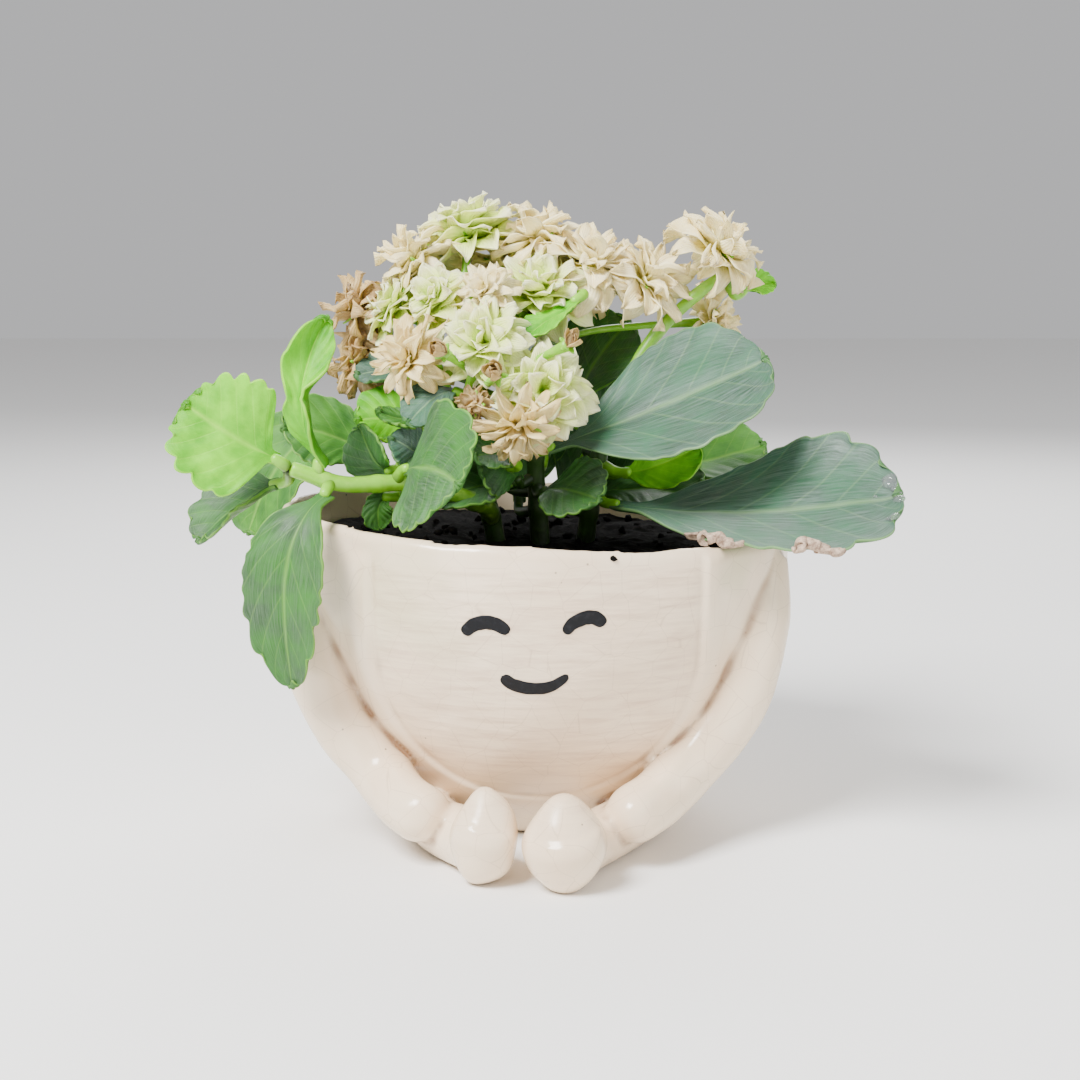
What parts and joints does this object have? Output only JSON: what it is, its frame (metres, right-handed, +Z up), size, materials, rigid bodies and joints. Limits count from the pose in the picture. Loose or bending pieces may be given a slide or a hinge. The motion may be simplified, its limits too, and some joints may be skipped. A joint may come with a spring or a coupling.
{
  "type": "potted kalanchoe",
  "caption": "Double-flowered kalanchoe, its heads fading from green to cream and brown, in a cream ceramic pot shaped as a seated figure hugging its legs.",
  "frame": {"origin": "centre of the pot's flat foot, on the surface that the pot stands on", "axes": "+Z up through the bowl; -Y out of the painted face, between the feet; +X to the right of a viewer who faces it, along the part's longest side"},
  "size_m": [0.166, 0.1331, 0.1551],
  "materials": {
    "glazed_cream": "gloss",
    "potting_soil": "matte",
    "stem_green": "satin",
    "leaf_green": "satin",
    "petal_green": "matte",
    "petal_cream": "matte",
    "petal_dried": "matte"
  },
  "bodies": {
    "root": {"pot": "glazed_cream", "soil": "potting_soil", "centre_stem": "stem_green", "right_stem": "stem_green", "left_stem": "stem_green", "side_shoot": "stem_green", "right_flower_stalk": "stem_green", "centre_flower_stalk": "stem_green", "left_flower_stalk": "stem_green", "front_flower_stalk": "stem_green", "far_left_flower_stalk": "stem_green", "upper_right_leaf": "leaf_green", "lower_right_leaf": "leaf_green", "back_right_leaf": "leaf_green", "inner_right_leaf": "leaf_green", "centre_bract": "leaf_green", "centre_back_leaf": "leaf_green", "right_bract": "leaf_green", "shoot_end_leaf": "leaf_green", "shoot_upper_leaf": "leaf_green", "hanging_leaf": "leaf_green", "shoot_far_leaf": "leaf_green", "back_left_leaf": "leaf_green", "left_behind_leaf": "leaf_green", "front_leaf": "leaf_green", "front_inner_leaf": "leaf_green", "left_curled_leaf": "leaf_green", "small_drooping_leaf": "leaf_green", "left_high_leaf": "leaf_green", "left_bright_leaf": "leaf_green", "grey_leaf": "leaf_green", "shade_leaf": "leaf_green", "rear_left_leaf": "leaf_green", "rear_right_leaf": "leaf_green", "rear_centre_leaf": "leaf_green", "rear_upper_leaf": "leaf_green", "fresh_flower_top": "petal_green", "cream_flower_top_left": "petal_cream", "fresh_flower_left": "petal_green", "fresh_flower_left_centre": "petal_green", "dried_flower_left_upper": "petal_dried", "dried_flower_left_lower": "petal_dried", "cream_flower_front_left": "petal_cream", "fresh_flower_front": "petal_green", "cream_flower_curled": "petal_cream", "fresh_flower_centre": "petal_green", "cream_flower_top": "petal_cream", "cream_flower_top_behind": "petal_cream", "cream_flower_star": "petal_cream", "cream_flower_right": "petal_cream", "cream_flower_far_right": "petal_cream", "cream_flower_right_low": "petal_cream", "fresh_flower_low": "petal_green", "cream_flower_hanging": "petal_cream", "dried_bud_front": "petal_dried", "dried_bud_high": "petal_dried", "dried_bud_centre": "petal_dried", "dried_bud_right": "petal_dried", "cream_flower_rear_left": "petal_cream", "cream_flower_rear_centre": "petal_cream"}
  },
  "joints": []
}
